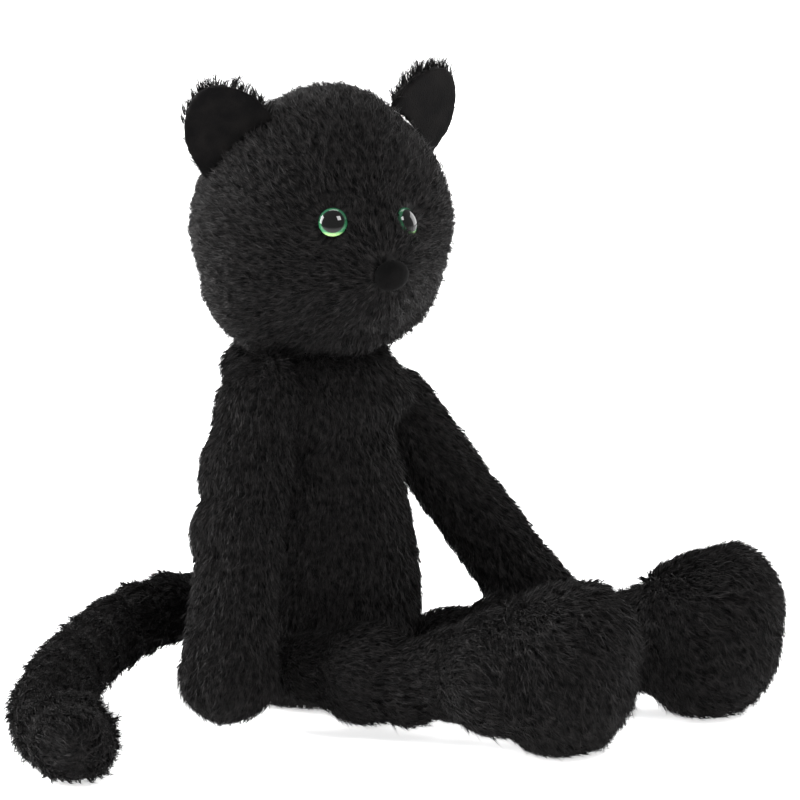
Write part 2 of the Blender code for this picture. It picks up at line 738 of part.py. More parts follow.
def build_leg(side, hip_turn, turn, shin_turn):
    hip = against_torso(hip_turn, HIP_HEIGHT, LEG_RADIUS)
    drop = KNEE_HEIGHT - hip.z
    flat = math.sqrt(THIGH**2 - drop**2)
    knee = hip + Vector((flat * math.sin(turn), -flat * math.cos(turn), drop))
    rise = FOOT_RADIUS * FOOT_TALL + GAP - knee.z
    flat = math.sqrt(SHIN**2 - rise**2)
    foot = knee + Vector((flat * math.sin(shin_turn), -flat * math.cos(shin_turn), rise))
    upper = Spine([hip, knee])
    waist = [(0.0, LEG_RADIUS), (THIGH * LIMB_MIDDLE, LEG_RADIUS)]
    cover = "leg_upper_cover_" + side
    open_segment(cover, "leg_upper_stuffing_" + side, upper, LEG_RADIUS, waist, THIGH, LEG_RADIUS)
    lower = Spine([knee, foot], FOOT_TALL, (SHIN - FOOT_RADIUS, SHIN - FOOT_RADIUS / 2))
    waist = [(0.0, LEG_RADIUS), (SHIN * ANKLE_AT, ANKLE_RADIUS)]
    end = (SHIN, FOOT_RADIUS)
    heel = ANKLE_RADIUS * HEEL_FLARE
    closed_bag("leg_lower_cover_" + side, lower, LEG_RADIUS, waist, end, heel)
    filling = "leg_lower_stuffing_" + side
    shared_filling(filling, "foot_bean_bag_" + side, lower, LEG_RADIUS, waist, end, heel, SHIN)


def tail_waist(length, first, last):
    """Stations of a half of the tail, which widens evenly from its first radius to its last."""
    return [(length * k / TAIL_RINGS, first + (last - first) * k / TAIL_RINGS) for k in range(TAIL_RINGS)]


def build_tail():
    root = against_torso(math.pi, TAIL_ROOT_HEIGHT, TAIL_RADIUS)
    base = Spine([root] + [root + run for run in TAIL_BASE_RUN])
    bend = base.points[-1]
    length = base.total
    waist = tail_waist(length, TAIL_RADIUS, TAIL_BEND_RADIUS)
    ball = TAIL_BEND_RADIUS
    open_segment("tail_base_cover", "tail_base_stuffing", base, TAIL_RADIUS, waist, length, ball)
    tip = Spine([bend] + [bend + run for run in TAIL_TIP_RUN])
    waist = tail_waist(tip.total, TAIL_BEND_RADIUS, TAIL_TIP_RADIUS)
    end = (tip.total, TAIL_TIP_RADIUS)
    closed_bag("tail_tip_cover", tip, ball, waist, end, 0.0)
    whole_filling("tail_tip_stuffing", tip, ball, waist, end)


clear_scene()
build_torso()
build_head()
build_arm("R", -1, SHOULDER_R_TURN, SHOULDER_R_HEIGHT, ARM_R_SWING, ARM_R_SPLAY)
build_arm("L", 1, SHOULDER_L_TURN, SHOULDER_L_HEIGHT, ARM_L_SWING, ARM_L_SPLAY)
build_leg("R", HIP_R_TURN, LEG_R_TURN, SHIN_R_TURN)
build_leg("L", HIP_L_TURN, LEG_L_TURN, SHIN_L_TURN)
build_tail()
bpy.context.view_layer.update()
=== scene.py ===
"""Looks of the sitting plush cat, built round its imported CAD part. Metres, front -Y, its left +X."""

import json
import math

import bmesh
import bpy
import numpy as np
from mathutils import Matrix, Vector, noise


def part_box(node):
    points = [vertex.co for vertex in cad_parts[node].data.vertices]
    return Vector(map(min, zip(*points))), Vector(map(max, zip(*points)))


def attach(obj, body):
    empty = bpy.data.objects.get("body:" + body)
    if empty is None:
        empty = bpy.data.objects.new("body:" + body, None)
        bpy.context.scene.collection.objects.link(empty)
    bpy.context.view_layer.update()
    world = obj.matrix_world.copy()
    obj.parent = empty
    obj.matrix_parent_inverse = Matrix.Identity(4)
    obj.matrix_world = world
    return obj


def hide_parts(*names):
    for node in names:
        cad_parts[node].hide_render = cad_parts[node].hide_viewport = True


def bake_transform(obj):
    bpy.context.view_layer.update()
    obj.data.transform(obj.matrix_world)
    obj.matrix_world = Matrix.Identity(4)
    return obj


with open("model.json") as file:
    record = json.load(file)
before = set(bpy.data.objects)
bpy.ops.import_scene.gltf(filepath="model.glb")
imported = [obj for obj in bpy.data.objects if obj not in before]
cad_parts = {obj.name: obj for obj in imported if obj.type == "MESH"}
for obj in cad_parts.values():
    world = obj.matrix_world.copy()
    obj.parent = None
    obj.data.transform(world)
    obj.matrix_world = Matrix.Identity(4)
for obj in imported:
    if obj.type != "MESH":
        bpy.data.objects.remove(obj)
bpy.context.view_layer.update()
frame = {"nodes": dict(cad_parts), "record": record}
hinges = {joint["name"]: joint for joint in frame["record"]["behaviour"]["joints"]}


# ---- Plush cloth ---------------------------------------------------------------------------------
# The cat is cut from black long-pile plush: a knitted back with soft clumped pile that all lies one
# way, the nap. The pieces are sewn inside out, turned and stuffed, and the pile is brushed out of the
# seams. Here a skin carries the way its pile lies, and tufts of flat fibres are planted all over it.

PILE_SEED = 7
TUFT_FIBRES = 11
TUFT_SPREAD = 0.0010
TUFT_KINDS = 4
FIBRE_LENGTH = 0.0070
FIBRE_WIDTH = 0.00034
FIBRE_LEAN = 0.20
FIBRE_SCATTER = 0.15
TUFT_SPACING = 0.00135
TUFT_DENSITY = 4.0e6
TUFT_JITTER = 0.24
TUFT_SHORTEST = 0.75
TUFT_LONGEST = 1.15
FLOOR_GAP = 0.0004
FLOOR_REACH = 0.0030
PLUSH_DARK = (0.0004, 0.0004, 0.0005)
PLUSH_LIGHT = (0.0160, 0.0147, 0.0146)
PLUSH_ROUGHNESS = 0.55
LOCK_WAVES = 110.0
TUFT_WAVES = 260.0


def hinge_point(name):
    return Vector(hinges[name]["pos_m"])


def box_middle(node):
    low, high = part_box(node)
    return (Vector(low) + Vector(high)) / 2


def node_material(name):
    made = bpy.data.materials.new(name)
    made.use_nodes = True
    tree = made.node_tree
    return made, tree, tree.nodes["Principled BSDF"]


def wire(tree, start, end):
    tree.links.new(start, end)


def plush_material(name, dark, light, roughness):
    """Pile whose fibres differ in shade from tuft to tuft, with the soft edge light of plush."""
    made, tree, shader = node_material(name)
    place = tree.nodes.new("ShaderNodeTexCoord")
    clumps = tree.nodes.new("ShaderNodeTexNoise")
    clumps.inputs["Scale"].default_value = 420.0
    clumps.inputs["Detail"].default_value = 3.0
    shade = tree.nodes.new("ShaderNodeValToRGB")
    shade.color_ramp.elements[0].position = 0.35
    shade.color_ramp.elements[0].color = (*dark, 1)
    shade.color_ramp.elements[1].position = 0.70
    shade.color_ramp.elements[1].color = (*light, 1)
    wire(tree, place.outputs["Object"], clumps.inputs["Vector"])
    wire(tree, clumps.outputs["Fac"], shade.inputs["Fac"])
    wire(tree, shade.outputs["Color"], shader.inputs["Base Color"])
    shader.inputs["Roughness"].default_value = roughness
    shader.inputs["Specular IOR Level"].default_value = 0.06
    shader.inputs["Sheen Weight"].default_value = 0.03
    shader.inputs["Sheen Roughness"].default_value = 0.5
    return made


plush_pile = plush_material("plush_pile", PLUSH_DARK, PLUSH_LIGHT, PLUSH_ROUGHNESS)


def new_object(name, mesh):
    made = bpy.data.objects.new(name, mesh)
    bpy.context.scene.collection.objects.link(made)
    return made


def make_tuft(name, seed, fibres, spread):
    """One tuft: a few flat fibres that stand close together, lean apart and bend over towards +X."""
    random = np.random.default_rng(seed)
    points = []
    faces = []
    for _ in range(fibres):
        turn = random.uniform(0, 2 * math.pi)
        out = spread * math.sqrt(random.uniform(0, 1))
        base = np.array([out * math.cos(turn), out * math.sin(turn), 0.0])
        length = FIBRE_LENGTH * random.uniform(0.68, 1.12)
        width = FIBRE_WIDTH * random.uniform(0.7, 1.2)
        facing = random.uniform(0, math.pi)
        across = np.array([math.cos(facing), math.sin(facing), 0.0]) * width / 2
        lean = (random.normal(FIBRE_LEAN, FIBRE_SCATTER), random.normal(0, FIBRE_SCATTER), 0.0)
        lean = np.array(lean)
        start = len(points)
        for share, wide in ((0.0, 1.0), (0.5, 0.85)):
            spine = base * (1 - 0.35 * share) + lean * length * share**1.8
            spine = spine + np.array([0, 0, length * share])
            points += [spine - across * wide, spine + across * wide]
        tip = base * 0.55 + lean * length * 1.6 + np.array([0, 0, length * 0.93])
        points.append(tip)
        faces += [(start, start + 1, start + 3, start + 2), (start + 2, start + 3, start + 4)]
    mesh = bpy.data.meshes.new(name)
    mesh.from_pydata([tuple(p) for p in points], [], faces)
    return new_object(name, mesh)


tuft_sources = [
    make_tuft(f"tuft_{i}", PILE_SEED + i, TUFT_FIBRES, TUFT_SPREAD) for i in range(TUFT_KINDS)
]


def pile_tree():
    """Tufts planted over a skin along its lay, leaning the way its nap runs, as real geometry."""
    tree = bpy.data.node_groups.new("plush_pile", "GeometryNodeTree")
    face = tree.interface
    face.new_socket("Skin", in_out="INPUT", socket_type="NodeSocketGeometry")
    for label, kind in (
        ("Spacing", "NodeSocketFloat"),
        ("Seed", "NodeSocketInt"),
        ("Jitter", "NodeSocketFloat"),
        ("Shortest", "NodeSocketFloat"),
        ("Longest", "NodeSocketFloat"),
        ("Cloth", "NodeSocketMaterial"),
    ):
        face.new_socket(label, in_out="INPUT", socket_type=kind)
    face.new_socket("Plush", in_out="OUTPUT", socket_type="NodeSocketGeometry")

    def add(kind, **settings):
        node = tree.nodes.new(kind)
        for key, value in settings.items():
            setattr(node, key, value)
        return node

    given = add("NodeGroupInput")
    result = add("NodeGroupOutput")
    scatter = add("GeometryNodeDistributePointsOnFaces", distribute_method="POISSON")
    thick = add("GeometryNodeInputNamedAttribute", data_type="FLOAT")
    thick.inputs["Name"].default_value = "thick"
    wire(tree, given.outputs["Skin"], scatter.inputs["Mesh"])
    wire(tree, given.outputs["Spacing"], scatter.inputs["Distance Min"])
    scatter.inputs["Density Max"].default_value = TUFT_DENSITY
    wire(tree, thick.outputs["Attribute"], scatter.inputs["Density Factor"])
    wire(tree, given.outputs["Seed"], scatter.inputs["Seed"])

    lay = add("GeometryNodeInputNamedAttribute", data_type="FLOAT_VECTOR")
    lay.inputs["Name"].default_value = "lay"
    nap = add("GeometryNodeInputNamedAttribute", data_type="FLOAT_VECTOR")
    nap.inputs["Name"].default_value = "nap"
    stand = add("FunctionNodeAlignRotationToVector", axis="Z")
    wire(tree, lay.outputs["Attribute"], stand.inputs["Vector"])
    bend = add("FunctionNodeAlignRotationToVector", axis="X", pivot_axis="Z")
    wire(tree, stand.outputs["Rotation"], bend.inputs["Rotation"])
    wire(tree, nap.outputs["Attribute"], bend.inputs["Vector"])
    wander = add("FunctionNodeRandomValue", data_type="FLOAT_VECTOR")
    back = add("ShaderNodeMath", operation="MULTIPLY")
    back.inputs[1].default_value = -1.0
    wire(tree, given.outputs["Jitter"], back.inputs[0])
    wire(tree, back.outputs[0], wander.inputs[0])
    wire(tree, given.outputs["Jitter"], wander.inputs[1])
    turned = add("FunctionNodeEulerToRotation")
    wire(tree, wander.outputs[0], turned.inputs[0])
    ruffled = add("FunctionNodeRotateRotation", rotation_space="LOCAL")
    wire(tree, bend.outputs["Rotation"], ruffled.inputs["Rotation"])
    wire(tree, turned.outputs[0], ruffled.inputs["Rotate By"])

    pile = add("GeometryNodeInputNamedAttribute", data_type="FLOAT")
    pile.inputs["Name"].default_value = "pile"
    size = add("FunctionNodeRandomValue", data_type="FLOAT")
    wire(tree, given.outputs["Shortest"], size.inputs[2])
    wire(tree, given.outputs["Longest"], size.inputs[3])
    grown = add("ShaderNodeMath", operation="MULTIPLY")
    wire(tree, pile.outputs["Attribute"], grown.inputs[0])
    wire(tree, size.outputs[1], grown.inputs[1])

    choice = add("GeometryNodeGeometryToInstance")
    for source in tuft_sources:
        tuft = add("GeometryNodeObjectInfo")
        tuft.inputs["Object"].default_value = source
        wire(tree, tuft.outputs["Geometry"], choice.inputs["Geometry"])
    plant = add("GeometryNodeInstanceOnPoints")
    plant.inputs["Pick Instance"].default_value = True
    wire(tree, scatter.outputs["Points"], plant.inputs["Points"])
    wire(tree, choice.outputs["Instances"], plant.inputs["Instance"])
    wire(tree, ruffled.outputs["Rotation"], plant.inputs["Rotation"])
    wire(tree, grown.outputs[0], plant.inputs["Scale"])
    both = add("GeometryNodeJoinGeometry")
    wire(tree, plant.outputs["Instances"], both.inputs["Geometry"])
    wire(tree, given.outputs["Skin"], both.inputs["Geometry"])
    real = add("GeometryNodeRealizeInstances")
    wire(tree, both.outputs["Geometry"], real.inputs["Geometry"])
    cloth = add("GeometryNodeSetMaterial")
    wire(tree, real.outputs["Geometry"], cloth.inputs["Geometry"])
    wire(tree, given.outputs["Cloth"], cloth.inputs["Material"])
    wire(tree, cloth.outputs["Geometry"], result.inputs["Plush"])
    return tree


plush_tree = pile_tree()


def points_of(mesh):
    flat = np.empty(len(mesh.vertices) * 3)
    mesh.vertices.foreach_get("co", flat)
    return flat.reshape(-1, 3)


def normals_of(mesh):
    flat = np.empty(len(mesh.vertices) * 3)
    mesh.vertices.foreach_get("normal", flat)
    return flat.reshape(-1, 3)


def unit(vectors):
    return vectors / np.maximum(np.linalg.norm(vectors, axis=1, keepdims=True), 1e-9)


def ball(centre, radii, turn=None):
    """A round lump that is melted into a skin."""
    bm = bmesh.new()
    bmesh.ops.create_icosphere(bm, subdivisions=3, radius=1.0)
    turn = turn or Matrix.Identity(4)
    shape = Matrix.Translation(centre) @ turn @ Matrix.Diagonal((*radii, 1.0))
    bmesh.ops.transform(bm, matrix=shape, verts=bm.verts)
    return bm


def melted_skin(name, nodes, lumps, voxel, smoothing):
    """One smooth closed skin round CAD solids and lumps, as cloth rounds over its filling."""
    whole = bmesh.new()
    for node in nodes:
        whole.from_mesh(frame["nodes"][node].data)
    for lump in lumps:
        spare = bpy.data.meshes.new("lump")
        lump.to_mesh(spare)
        whole.from_mesh(spare)
        bpy.data.meshes.remove(spare)
        lump.free()
    mesh = bpy.data.meshes.new(name)
    whole.to_mesh(mesh)
    whole.free()
    mesh.materials.clear()
    skin = new_object(name, mesh)
    melt = skin.modifiers.new("melt", "REMESH")
    melt.mode = "VOXEL"
    melt.voxel_size = voxel
    ease = skin.modifiers.new("ease", "SMOOTH")
    ease.factor = 0.5
    ease.iterations = smoothing
    graph = bpy.context.evaluated_depsgraph_get()
    done = bpy.data.meshes.new_from_object(skin.evaluated_get(graph))
    skin.modifiers.clear()
    skin.data = done
    bpy.data.meshes.remove(mesh)
    done.polygons.foreach_set("use_smooth", [True] * len(done.polygons))
    return skin


def set_attribute(mesh, name, kind, values):
    made = mesh.attributes.new(name, kind, "POINT")
    key = "vector" if kind == "FLOAT_VECTOR" else "value"
    made.data.foreach_set(key, np.ascontiguousarray(values, np.float32).ravel())


def move_points(mesh, points):
    mesh.vertices.foreach_set("co", points.ravel())
    mesh.update()


def wander_of(points, scale, seed):
    """A slow, repeatable wander over a skin, which parts the pile into locks."""
    shift = Vector((seed * 3.1, seed * 1.7, seed * 2.3))
    return np.array([noise.noise_vector(Vector(p) * scale + shift) for p in points])


def comb(skin, flow, lift=0.42, pile=1.0, thick=1.0, sink=0.0, ruffle=0.42):
    """Stores how the pile lies: flow is where the nap runs, lift how far it stands up, pile its length
    and thick its density. Sink draws the cloth in. Next to the floor the pile is halved."""
    mesh = skin.data
    points = points_of(mesh)
    normals = normals_of(mesh)

    def spread(value):
        return np.broadcast_to(np.asarray(value, float), (len(points),))

    by_floor = np.where(points[:, 2] < FLOOR_REACH, 0.5, 1.0)
    flow = unit(flow) + wander_of(points, LOCK_WAVES, 1) * ruffle
    flow = flow + wander_of(points, TUFT_WAVES, 2) * ruffle
    nap = unit(flow - normals * np.sum(flow * normals, axis=1, keepdims=True))
    lift = spread(lift)[:, None]
    lay = unit(normals * lift + nap * (1 - lift))
    set_attribute(mesh, "nap", "FLOAT_VECTOR", nap)
    set_attribute(mesh, "lay", "FLOAT_VECTOR", lay)
    set_attribute(mesh, "pile", "FLOAT", spread(pile) * by_floor)
    set_attribute(mesh, "thick", "FLOAT", spread(thick) * by_floor)
    mesh.vertices.foreach_set("co", (points - normals * spread(sink)[:, None]).ravel())


def grow_pile(skin, seed):
    """Turns a combed skin into plush: skin and tufts in one plain mesh, pressed flat on the floor."""
    modifier = skin.modifiers.new("pile", "NODES")
    modifier.node_group = plush_tree
    values = {
        "Spacing": TUFT_SPACING,
        "Seed": seed,
        "Jitter": TUFT_JITTER,
        "Shortest": TUFT_SHORTEST,
        "Longest": TUFT_LONGEST,
        "Cloth": plush_pile,
    }
    for item in plush_tree.interface.items_tree:
        if item.item_type == "SOCKET" and item.in_out == "INPUT" and item.name in values:
            modifier[item.identifier] = values[item.name]
    bpy.context.view_layer.update()
    graph = bpy.context.evaluated_depsgraph_get()
    bare = skin.data
    done = bpy.data.meshes.new_from_object(skin.evaluated_get(graph))
    skin.modifiers.clear()
    skin.data = done
    bpy.data.meshes.remove(bare)
    done.materials.clear()
    done.materials.append(plush_pile)
    done.polygons.foreach_set("material_index", [0] * len(done.polygons))
    points = points_of(done)
    points[:, 2] = np.maximum(points[:, 2], FLOOR_GAP)
    for layer in ("nap", "lay", "pile", "thick"):
        if layer in done.attributes:
            done.attributes.remove(done.attributes[layer])
    move_points(done, points)


def distances(points, place):
    return np.linalg.norm(points - np.array(place), axis=1)


def near(points, place, reach):
    """1 at a place, falling smoothly to 0 at reach."""
    close = np.clip(1 - distances(points, place) / reach, 0, 1)
    return close**2 * (3 - 2 * close)


# ---- Torso ---------------------------------------------------------------------------------------
# A pear of plush, two panels joined at the sides over stuffing, with an oval base panel under a bag of
# beans. Its nap runs down from the neck, and its seams vanish in the pile.

YOKE, YOKE_AT = (0.040, 0.030, 0.018), Vector((0, -0.003, -0.015))
COLLAR, COLLAR_AT = (0.030, 0.026, 0.012), Vector((0, -0.004, -0.003))
NAPE, NAPE_AT = (0.0125,) * 3, Vector((-0.017, 0.015, -0.004))
TORSO_VOXEL = 0.0028


def downwards(skin):
    return np.tile((0.0, 0.0, -1.0), (len(skin.data.vertices), 1))


neck = hinge_point("head_turn")
torso = melted_skin(
    "torso_plush",
    ["torso_front_cover", "torso_back_cover", "torso_stuffing", "seat_panel", "seat_bean_bag"],
    [
        ball(neck + YOKE_AT, YOKE),
        ball(neck + COLLAR_AT, COLLAR),
        ball(neck + NAPE_AT, NAPE),
    ],
    TORSO_VOXEL,
    14,
)
comb(torso, downwards(torso))
grow_pile(torso, 11)
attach(torso, "torso")
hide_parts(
    "torso_front_cover", "torso_back_cover", "seat_panel", "torso_stuffing", "seat_bean_bag"
)


# ---- Head ----------------------------------------------------------------------------------------
# An egg of plush whose narrow end is the chin, a face panel and a back panel over firm stuffing. The
# pile is swept away from the nose: out over the cheeks, up the forehead and back over the crown. It is
# clipped short round the eyes and the nose.

EYE_CLEAR = 0.0150
NOSE_CLEAR = 0.0160
JOWL = (0.0325, 0.0325, 0.0300)
JOWL_OUT = 0.0144
JOWL_BACK = 0.0072
JOWL_DOWN = 0.0215
CROWN = (0.0300, 0.0290, 0.0240)
CROWN_UP = 0.0300
TEMPLE_SWELL = 0.0018
TEMPLE_UP = 0.004
TEMPLE_REACH = 0.036
NOSE_SETTLE = Vector((0.0028, 0.0002, 0.0018))
EYE_HOLE = 0.0052
NOSE_HOLE = 0.0054
HEAD_NODES = ["head_face_cover", "head_back_cover", "head_stuffing"]
HEAD_VOXEL = 0.0028


def eye_place(side):
    """The middle of an eye's foot on the head and the way that it looks."""
    lens, stem = (
        np.unique(np.round(points_of(frame["nodes"][node + side].data), 6), axis=0)
        for node in ("eye_lens_", "eye_iris_and_post_")
    )
    axis = Vector(lens.mean(axis=0) - stem.mean(axis=0)).normalized()
    reach = lens @ np.array(axis)
    foot = lens[reach < reach.min() + 0.0001].mean(axis=0)
    return Vector(foot), axis


eyes = {side: eye_place(side) for side in "LR"}
nose_middle = box_middle("nose_pad") + NOSE_SETTLE
head_middle = box_middle("head_stuffing")
ahead = nose_middle - head_middle
ahead.z = 0
ahead.normalize()
sideways = Vector((0, 0, 1)).cross(ahead)
jowl_drop = Vector((0, 0, JOWL_DOWN))
jowls = [
    ball(head_middle + sideways * (way * JOWL_OUT) - ahead * JOWL_BACK - jowl_drop, JOWL)
    for way in (-1, 1)
]
crown = ball(head_middle + Vector((0, 0, CROWN_UP)), CROWN)
head = melted_skin("head_plush", HEAD_NODES, jowls + [crown], HEAD_VOXEL, 10)
points = points_of(head.data)
flow = unit(points - np.array(nose_middle))
to_nose = np.array((nose_middle - head_middle).normalized())
behind = np.clip(-(points - np.array(head_middle)) @ to_nose / 0.04, 0, 1)
flow = flow + behind[:, None] * np.array((0.0, 0.0, -1.2))
pile = np.ones(len(points))
thick = np.ones(len(points))
temple = np.clip(1 - np.abs(points[:, 2] - head_middle.z - TEMPLE_UP) / TEMPLE_REACH, 0, 1)
sink = -TEMPLE_SWELL * temple**0.5
for foot, _ in eyes.values():
    close = near(points, foot, EYE_CLEAR)
    flow = flow * (1 - close[:, None]) + unit(points - np.array(foot)) * close[:, None] * 1.5
    pile *= 1 - 0.62 * close
    sink *= 1 - close
    thick *= distances(points, foot) > EYE_HOLE
close = near(points, nose_middle, NOSE_CLEAR)
pile *= 1 - 0.50 * close
sink *= 1 - close
thick *= distances(points, nose_middle) > NOSE_HOLE
comb(head, flow, lift=0.40, pile=pile, thick=thick, sink=sink)
grow_pile(head, 23)
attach(head, "head")
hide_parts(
    "head_face_cover", "head_back_cover", "head_stuffing", "eye_washer_L", "eye_washer_R"
)


# ---- Neck ----------------------------------------------------------------------------------------
# A short ball of stuffing in the seam between the torso and the head, on which the head turns. It is
# sewn in at both ends, and it stays out of sight in the pile.

NECK_RING, NECK_RING_AT = (0.028, 0.025, 0.008), Vector((0, -0.004, 0.002))
neck_ring = ball(neck + NECK_RING_AT, NECK_RING)
neck_skin = melted_skin("neck_plush", ["neck_stuffing"], [neck_ring], 0.0024, 6)
comb(neck_skin, downwards(neck_skin), lift=0.6, pile=0.9, sink=0.001)
grow_pile(neck_skin, 29)
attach(neck_skin, "neck")
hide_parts("neck_stuffing")


# ---- Eyes ----------------------------------------------------------------------------------------
# Safety eyes: a clear plastic dome with a ring of green paint and a wide black pupil on its back, held
# by a post and a washer inside the head. Here the dome is opaque with that paint on its face. The ring
# is
# painted lightest at the bottom: painted light, standing in for the light that the clear dome gathers
# there.

EYE_RADIUS = 0.0058
EYE_RISE = 0.0034
EYE_FOOT = -0.0016
PUPIL_EDGE = 0.76
EYE_SIDES = 48
EYE_RINGS = 14
EYE_SETTLE = {"L": Vector((-0.0014, 0.0014, -0.0024)), "R": Vector((0, 0, 0))}


def eye_material():
    made, tree, shader = node_material("painted_eye")
    share = tree.nodes.new("ShaderNodeAttribute")
    share.attribute_name = "out"
    height = tree.nodes.new("ShaderNodeAttribute")
    height.attribute_name = "height"
    # The ring's green goes from light at the bottom to dark above: painted light where a clear dome
    # gathers it.
    iris_green_and_painted_light = tree.nodes.new("ShaderNodeValToRGB")
    stops = (
        (0.0, (0.62, 0.95, 0.42, 1)),
        (0.13, (0.42, 0.74, 0.28, 1)),
        (0.24, (0.03, 0.17, 0.07, 1)),
        (0.60, (0.006, 0.045, 0.020, 1)),
        (0.92, (0.02, 0.09, 0.045, 1)),
    )
    while len(iris_green_and_painted_light.color_ramp.elements) < len(stops):
        iris_green_and_painted_light.color_ramp.elements.new(0.5)
    for element, (place, colour) in zip(iris_green_and_painted_light.color_ramp.elements, stops):
        element.position = place
        element.color = colour
    streak = tree.nodes.new("ShaderNodeTexNoise")
    streak.inputs["Scale"].default_value = 900.0
    place = tree.nodes.new("ShaderNodeTexCoord")
    wire(tree, place.outputs["Object"], streak.inputs["Vector"])
    vary = tree.nodes.new("ShaderNodeMix")
    vary.data_type = "RGBA"
    vary.blend_type = "MULTIPLY"
    vary.inputs["Factor"].default_value = 0.5
    wire(tree, height.outputs["Fac"], iris_green_and_painted_light.inputs["Fac"])
    wire(tree, iris_green_and_painted_light.outputs["Color"], vary.inputs[6])
    wire(tree, streak.outputs["Color"], vary.inputs[7])
    ring = tree.nodes.new("ShaderNodeValToRGB")
    ring.color_ramp.elements[0].position = PUPIL_EDGE
    ring.color_ramp.elements[0].color = (0, 0, 0, 1)
    ring.color_ramp.elements[1].position = PUPIL_EDGE + 0.06
    ring.color_ramp.elements[1].color = (1, 1, 1, 1)
    for outwards, level in ((0.95, 1), (0.99, 0)):
        edge = ring.color_ramp.elements.new(outwards)
        edge.color = (level, level, level, 1)
    wire(tree, share.outputs["Fac"], ring.inputs["Fac"])
    paint = tree.nodes.new("ShaderNodeMix")
    paint.data_type = "RGBA"
    paint.inputs[6].default_value = (0.001, 0.001, 0.001, 1)
    wire(tree, ring.outputs["Color"], paint.inputs["Factor"])
    wire(tree, vary.outputs[2], paint.inputs[7])
    wire(tree, paint.outputs[2], shader.inputs["Base Color"])
    shader.inputs["Roughness"].default_value = 0.35
    shader.inputs["Coat Weight"].default_value = 1.0
    shader.inputs["Coat Roughness"].default_value = 0.02
    shader.inputs["Coat IOR"].default_value = 1.33
    shader.inputs["Specular IOR Level"].default_value = 0.0
    return made


painted_eye = eye_material()


def eye_dome(name, foot, axis):
    """The dome about its axis, with how far out each point is for its paint, and how high for painted
    light.
    """
    rows = [(0.0, EYE_RISE)]
    for ring in range(1, EYE_RINGS + 1):
        angle = math.pi / 2 * ring / EYE_RINGS
        rows.append((EYE_RADIUS * math.sin(angle), EYE_RISE * math.cos(angle)))
    rows.append((EYE_RADIUS * 0.97, EYE_FOOT))
    frame_of = axis.to_track_quat("Z", "Y").to_matrix().to_4x4()
    frame_of.translation = foot
    places = [Vector((0, 0, EYE_RISE))]
    shares = [0.0]
    for radius, rise in rows[1:]:
        for i in range(EYE_SIDES):
            turn = 2 * math.pi * i / EYE_SIDES
            places.append(Vector((radius * math.cos(turn), radius * math.sin(turn), rise)))
            shares.append(radius / EYE_RADIUS if rise >= 0 else 1.0)
    places.append(Vector((0, 0, rows[-1][1])))
    shares.append(1.0)
    faces = []
    for i in range(EYE_SIDES):
        after = (i + 1) % EYE_SIDES
        faces.append((0, 1 + i, 1 + after))
        for ring in range(len(rows) - 2):
            a = 1 + ring * EYE_SIDES
            b = a + EYE_SIDES
            faces.append((a + i, b + i, b + after, a + after))
        last = 1 + (len(rows) - 2) * EYE_SIDES
        faces.append((last + i, len(places) - 1, last + after))
    places = [frame_of @ p for p in places]
    mesh = bpy.data.meshes.new(name)
    mesh.from_pydata([tuple(p) for p in places], [], faces)
    heights = [0.5 + (p.z - foot.z) / (2 * EYE_RADIUS) for p in places]
    set_attribute(mesh, "out", "FLOAT", shares)
    set_attribute(mesh, "height", "FLOAT", np.clip(heights, 0, 1))
    mesh.polygons.foreach_set("use_smooth", [True] * len(mesh.polygons))
    mesh.materials.append(painted_eye)
    return new_object(name, mesh)


for side, (foot, axis) in eyes.items():
    settled = foot + EYE_SETTLE[side]
    dome = eye_dome("eye_dome_" + side, settled, axis)
    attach(dome, "head")
    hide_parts("eye_lens_" + side, "eye_iris_and_post_" + side)


# ---- Nose and velvet -----------------------------------------------------------------------------
# A small oval of short-napped velvet, padded and sewn to the muzzle. The ears are lined with the same
# cloth, a shade warmer than the pile.


def velvet_material(name, dark, light):
    made, tree, shader = node_material(name)
    place = tree.nodes.new("ShaderNodeTexCoord")
    grain = tree.nodes.new("ShaderNodeTexNoise")
    grain.inputs["Scale"].default_value = 1600.0
    grain.inputs["Detail"].default_value = 4.0
    drift = tree.nodes.new("ShaderNodeTexNoise")
    drift.inputs["Scale"].default_value = 130.0
    shade = tree.nodes.new("ShaderNodeValToRGB")
    shade.color_ramp.elements[0].position = 0.35
    shade.color_ramp.elements[0].color = (*dark, 1)
    shade.color_ramp.elements[1].position = 0.68
    shade.color_ramp.elements[1].color = (*light, 1)
    bump = tree.nodes.new("ShaderNodeBump")
    bump.inputs["Strength"].default_value = 0.5
    bump.inputs["Distance"].default_value = 0.0004
    for texture in (grain, drift):
        wire(tree, place.outputs["Object"], texture.inputs["Vector"])
    wire(tree, drift.outputs["Fac"], shade.inputs["Fac"])
    wire(tree, shade.outputs["Color"], shader.inputs["Base Color"])
    wire(tree, grain.outputs["Fac"], bump.inputs["Height"])
    wire(tree, bump.outputs["Normal"], shader.inputs["Normal"])
    shader.inputs["Roughness"].default_value = 0.9
    shader.inputs["Specular IOR Level"].default_value = 0.05
    shader.inputs["Sheen Weight"].default_value = 0.01
    shader.inputs["Sheen Roughness"].default_value = 0.45
    return made


nose_velvet = velvet_material("nose_nap", (0.0006, 0.0006, 0.0006), (0.0022, 0.0020, 0.0020))
black_velvet = velvet_material("velvet_nap", (0.0016, 0.0015, 0.0016), (0.0040, 0.0036, 0.0035))
nose = melted_skin("nose_velvet", ["nose_pad"], [], 0.0007, 4)
nose.data.materials.append(nose_velvet)
move_points(nose.data, points_of(nose.data) + np.array(NOSE_SETTLE))
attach(nose, "head")
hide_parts("nose_pad")


# ---- Ears ----------------------------------------------------------------------------------------
# A rounded leaf of plush behind and velvet in front, sewn round the edge and turned. The pile of the
# back stands out past the top and the inner edge as a fringe.

EAR_SPREAD = {"L": 0.0042, "R": 0.0006}
EAR_FLOW_FROM = 0.010


